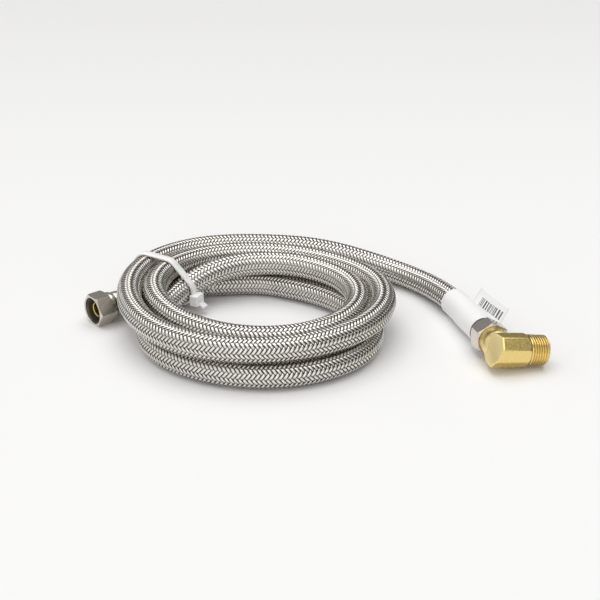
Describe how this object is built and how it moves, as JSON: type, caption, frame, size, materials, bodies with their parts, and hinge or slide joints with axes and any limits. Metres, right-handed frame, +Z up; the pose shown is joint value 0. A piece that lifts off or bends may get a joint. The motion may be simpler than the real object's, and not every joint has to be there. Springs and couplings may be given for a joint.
{
  "type": "dishwasher inlet hose",
  "caption": "Braided steel dishwasher inlet hose, coiled and tied, with a swivel nut at one end and a brass pipe-thread elbow at the other",
  "frame": {"origin": "on the floor that the hose lies on, under the middle of the box round the two end fittings (the hose and what is on it left out)", "axes": "+X from the inlet nut towards the elbow, the long way between the fittings; +Y away from the viewer of the picture; +Z up"},
  "size_m": [0.2528, 0.1572, 0.0298],
  "materials": {
    "nickel_plate": "satin nickel plate on brass",
    "brass": "bare machined brass",
    "black_rubber": "matt",
    "braided_hose": "rubber hose under a braid of stainless steel wire",
    "white_nylon": "moulded nylon",
    "label_paper": "matt white paper"
  },
  "bodies": {
    "hose": {"inlet_stem": "brass", "inlet_cone_washer": "black_rubber", "inlet_crimp_sleeve": "nickel_plate", "inlet_hose_end": "black_rubber", "elbow_nut": "nickel_plate", "elbow_stem": "brass", "elbow_cone_washer": "black_rubber", "elbow_crimp_sleeve": "nickel_plate", "elbow_hose_end": "black_rubber", "elbow": "brass", "hose_tail": "braided_hose", "hose_coil_upper": "braided_hose", "hose_coil_lower": "braided_hose", "hose_inner_turn": "braided_hose", "hose_lead": "braided_hose", "cable_tie": "white_nylon", "label": "label_paper"},
    "inlet_nut": {"inlet_nut": "nickel_plate"}
  },
  "joints": [
    {"name": "inlet_nut_swivel", "type": "hinge", "parent": "hose", "child": "inlet_nut", "pos_m": [-0.12073, 0.02046, 0.0085], "axis": [-0.766, -0.6428, 0], "continuous": true}
  ]
}
